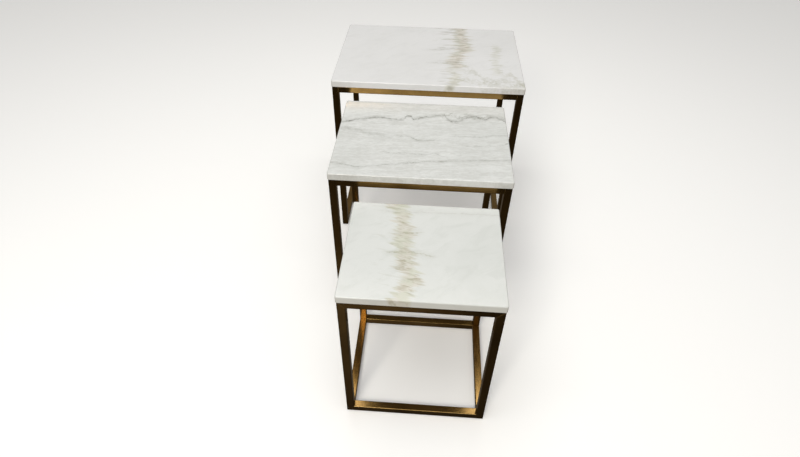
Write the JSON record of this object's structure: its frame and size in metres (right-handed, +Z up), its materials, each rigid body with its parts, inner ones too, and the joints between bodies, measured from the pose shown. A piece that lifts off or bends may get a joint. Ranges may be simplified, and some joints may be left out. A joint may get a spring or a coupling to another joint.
{
  "type": "nesting tables",
  "caption": "Rectangular side tables of stepped size, stone slabs on antique brass square tube frames, pulled out in a row; each slides into the next one.",
  "frame": {"origin": "on the floor, under the middle of the box around the whole set as it stands pulled out", "axes": "+Z up; +Y from the small table at the front to the large table at the back; +X to the right seen from the front"},
  "size_m": [0.59, 1.188, 0.59],
  "materials": {
    "marble_large": "polished white marble with a golden beige band",
    "marble_medium": "polished cool white marble with dark wavy veins",
    "marble_small": "polished white marble with an olive gold band",
    "antique_brass": "dark antique, satin, lightly brushed",
    "zinc_steel": "zinc plated",
    "insert_brass": "turned",
    "glide_plastic": "moulded, matt"
  },
  "bodies": {
    "large_table": {"large_bottom_rail_back": "antique_brass", "large_bottom_rail_left": "antique_brass", "large_bottom_rail_right": "antique_brass", "large_corner_tab_back_left": "antique_brass", "large_corner_tab_back_right": "antique_brass", "large_corner_tab_front_left": "antique_brass", "large_corner_tab_front_right": "antique_brass", "large_foot_glides": "glide_plastic", "large_leg_back_left": "antique_brass", "large_leg_back_right": "antique_brass", "large_leg_front_left": "antique_brass", "large_leg_front_right": "antique_brass", "large_slab_inserts": "insert_brass", "large_slab_screws": "zinc_steel", "large_top_rail_back": "antique_brass", "large_top_rail_front": "antique_brass", "large_top_rail_left": "antique_brass", "large_top_rail_right": "antique_brass", "large_top_slab": "marble_large"},
    "medium_table": {"medium_bottom_rail_back": "antique_brass", "medium_bottom_rail_left": "antique_brass", "medium_bottom_rail_right": "antique_brass", "medium_corner_tab_back_left": "antique_brass", "medium_corner_tab_back_right": "antique_brass", "medium_corner_tab_front_left": "antique_brass", "medium_corner_tab_front_right": "antique_brass", "medium_foot_glides": "glide_plastic", "medium_leg_back_left": "antique_brass", "medium_leg_back_right": "antique_brass", "medium_leg_front_left": "antique_brass", "medium_leg_front_right": "antique_brass", "medium_slab_inserts": "insert_brass", "medium_slab_screws": "zinc_steel", "medium_top_rail_back": "antique_brass", "medium_top_rail_front": "antique_brass", "medium_top_rail_left": "antique_brass", "medium_top_rail_right": "antique_brass", "medium_top_slab": "marble_medium"},
    "small_table": {"small_bottom_rail_back": "antique_brass", "small_bottom_rail_front": "antique_brass", "small_bottom_rail_left": "antique_brass", "small_bottom_rail_right": "antique_brass", "small_corner_tab_back_left": "antique_brass", "small_corner_tab_back_right": "antique_brass", "small_corner_tab_front_left": "antique_brass", "small_corner_tab_front_right": "antique_brass", "small_foot_glides": "glide_plastic", "small_leg_back_left": "antique_brass", "small_leg_back_right": "antique_brass", "small_leg_front_left": "antique_brass", "small_leg_front_right": "antique_brass", "small_slab_inserts": "insert_brass", "small_slab_screws": "zinc_steel", "small_top_rail_back": "antique_brass", "small_top_rail_front": "antique_brass", "small_top_rail_left": "antique_brass", "small_top_rail_right": "antique_brass", "small_top_slab": "marble_small"}
  },
  "joints": [
    {"name": "medium_nesting_slide", "type": "slide", "parent": "large_table", "child": "medium_table", "axis": [0, 1, 0], "range_m": [0, 0.393]},
    {"name": "small_nesting_slide", "type": "slide", "parent": "medium_table", "child": "small_table", "axis": [0, 1, 0], "range_m": [0, 0.361]}
  ]
}
